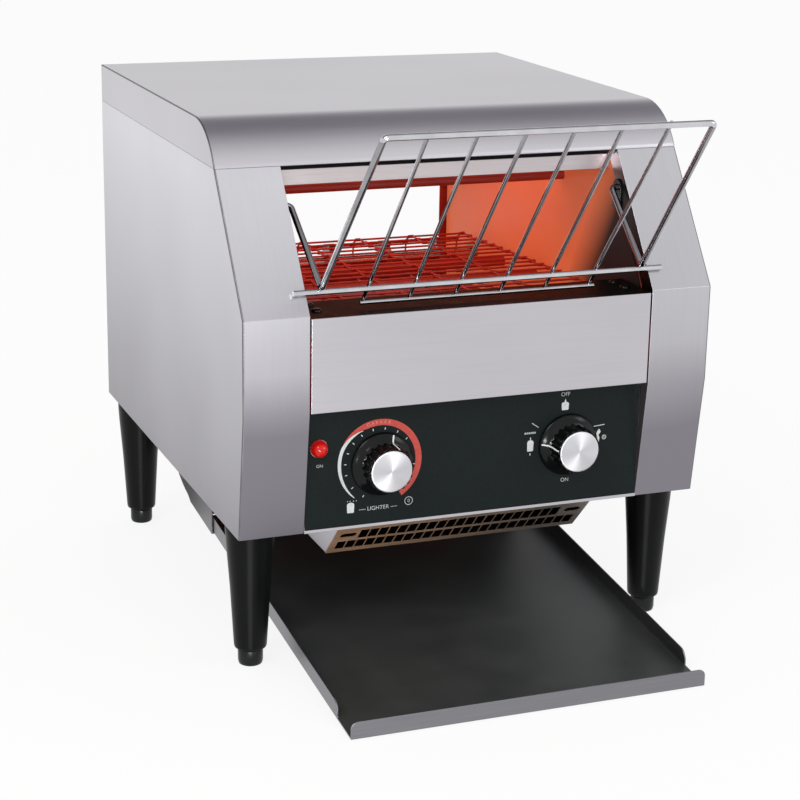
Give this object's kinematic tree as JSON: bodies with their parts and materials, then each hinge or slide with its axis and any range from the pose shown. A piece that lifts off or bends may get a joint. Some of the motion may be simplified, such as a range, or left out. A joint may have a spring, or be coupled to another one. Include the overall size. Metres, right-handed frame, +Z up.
{
  "type": "conveyor toaster",
  "caption": "Counter-top conveyor toaster: folded steel housing on tapered legs, wire feed rack and belt, recessed dial panel, curved chute and pull-out toast tray.",
  "frame": {"origin": "centre of the whole toaster's bounding box in width and depth, on the counter under the levelling feet", "axes": "+Z up, the control panel faces -Y, +X to the right as seen by the user standing in front"},
  "size_m": [0.368, 0.518, 0.4206],
  "materials": {
    "stainless": "brushed",
    "overlay_film": "satin",
    "lamp_red": "glossy",
    "knob_black": "glossy",
    "spun_aluminium": "spun",
    "bakelite": "moulded",
    "black_enamel": "gloss enamel",
    "zinc_steel": "zinc plated",
    "black_nylon": "moulded",
    "grille_steel": "brushed",
    "reflector_steel": "bright",
    "heater_sheath": "glowing",
    "belt_wire": "drawn wire",
    "bronze": "sintered",
    "motor_grey": "painted",
    "chain_steel": "oiled",
    "terminal_plastic": "moulded",
    "chute_steel": "bright",
    "tray_steel": "bright",
    "chrome_wire": "polished",
    "leg_black": "satin"
  },
  "bodies": {
    "housing": {"side_panel_left": "stainless", "side_panel_right": "stainless", "top_cover": "stainless", "front_panel": "stainless", "control_panel": "stainless", "control_overlay": "overlay_film", "indicator_lamp": "lamp_red", "speed_control": "bakelite", "selector_switch": "bakelite", "feed_ledge": "black_enamel", "ledge_screws": "zinc_steel", "back_panel": "stainless", "back_screws": "zinc_steel", "cord_gland": "black_nylon", "bottom_panel": "stainless", "air_duct": "stainless", "intake_grille": "grille_steel", "chamber_wall_left": "reflector_steel", "chamber_wall_right": "reflector_steel", "ceiling_reflector": "reflector_steel", "front_baffle": "stainless", "upper_elements": "heater_sheath", "lower_elements": "heater_sheath", "floor_reflector": "reflector_steel", "drop_guard": "reflector_steel", "conveyor_belt": "belt_wire", "shaft_bearings": "bronze", "gearmotor": "motor_grey", "drive_chain": "chain_steel", "fan_frame": "black_nylon", "terminal_block": "terminal_plastic", "relay": "bakelite", "thermostat": "zinc_steel", "toast_chute": "chute_steel", "rack_bracket_left": "chrome_wire", "rack_bracket_right": "chrome_wire", "leg_front_left": "leg_black", "leg_front_right": "leg_black", "leg_rear_left": "leg_black", "leg_rear_right": "leg_black"},
    "drive": {"drive_shaft": "zinc_steel", "drive_sprockets": "zinc_steel", "chain_wheel": "zinc_steel"},
    "idler": {"idler_shaft": "zinc_steel", "idler_pulleys": "zinc_steel"},
    "motor_output": {"motor_sprocket": "zinc_steel"},
    "fan": {"fan_rotor": "black_nylon"},
    "speed_dial": {"speed_knob": "knob_black", "speed_knob_cap": "spun_aluminium"},
    "selector_dial": {"selector_knob": "knob_black", "selector_knob_cap": "spun_aluminium"},
    "rack": {"feed_rack": "chrome_wire"},
    "tray": {"toast_tray": "tray_steel"},
    "foot_fl": {"foot_front_left": "leg_black"},
    "foot_fr": {"foot_front_right": "leg_black"},
    "foot_rl": {"foot_rear_left": "leg_black"},
    "foot_rr": {"foot_rear_right": "leg_black"}
  },
  "joints": [
    {"name": "drive_turn", "type": "hinge", "parent": "housing", "child": "drive", "pos_m": [0, 0.187, 0.232], "axis": [1, 0, 0], "continuous": true},
    {"name": "idler_turn", "type": "hinge", "parent": "housing", "child": "idler", "pos_m": [0, -0.08, 0.2445], "axis": [1, 0, 0], "continuous": true},
    {"name": "motor_turn", "type": "hinge", "parent": "housing", "child": "motor_output", "pos_m": [0.14, 0.099, 0.162], "axis": [1, 0, 0], "continuous": true},
    {"name": "fan_spin", "type": "hinge", "parent": "housing", "child": "fan", "pos_m": [0, -0.005, 0.123], "axis": [0, 0, 1], "continuous": true},
    {"name": "speed_dial_turn", "type": "hinge", "parent": "housing", "child": "speed_dial", "pos_m": [-0.075, -0.155, 0.159], "axis": [0, -1, 0], "range_deg": [-130, 170]},
    {"name": "selector_turn", "type": "hinge", "parent": "housing", "child": "selector_dial", "pos_m": [0.075, -0.155, 0.159], "axis": [0, -1, 0], "range_deg": [0, 270]},
    {"name": "rack_lift", "type": "hinge", "parent": "housing", "child": "rack", "pos_m": [0, -0.0914, 0.343], "axis": [-1, 0, 0], "range_deg": [0, 70]},
    {"name": "tray_slide", "type": "slide", "parent": "housing", "child": "tray", "axis": [0, -1, 0], "range_m": [0, 0.25]},
    {"name": "foot_fl_turn", "type": "hinge", "parent": "housing", "child": "foot_fl", "pos_m": [-0.165, -0.109, 0.013], "axis": [0, 0, 1], "continuous": true},
    {"name": "foot_fr_turn", "type": "hinge", "parent": "housing", "child": "foot_fr", "pos_m": [0.165, -0.109, 0.013], "axis": [0, 0, 1], "continuous": true},
    {"name": "foot_rl_turn", "type": "hinge", "parent": "housing", "child": "foot_rl", "pos_m": [-0.165, 0.22, 0.013], "axis": [0, 0, 1], "continuous": true},
    {"name": "foot_rr_turn", "type": "hinge", "parent": "housing", "child": "foot_rr", "pos_m": [0.165, 0.22, 0.013], "axis": [0, 0, 1], "continuous": true}
  ],
  "couplings": [
    {"joint": "idler_turn", "follows": "drive_turn", "ratio": 1},
    {"joint": "motor_turn", "follows": "drive_turn", "ratio": 2}
  ]
}
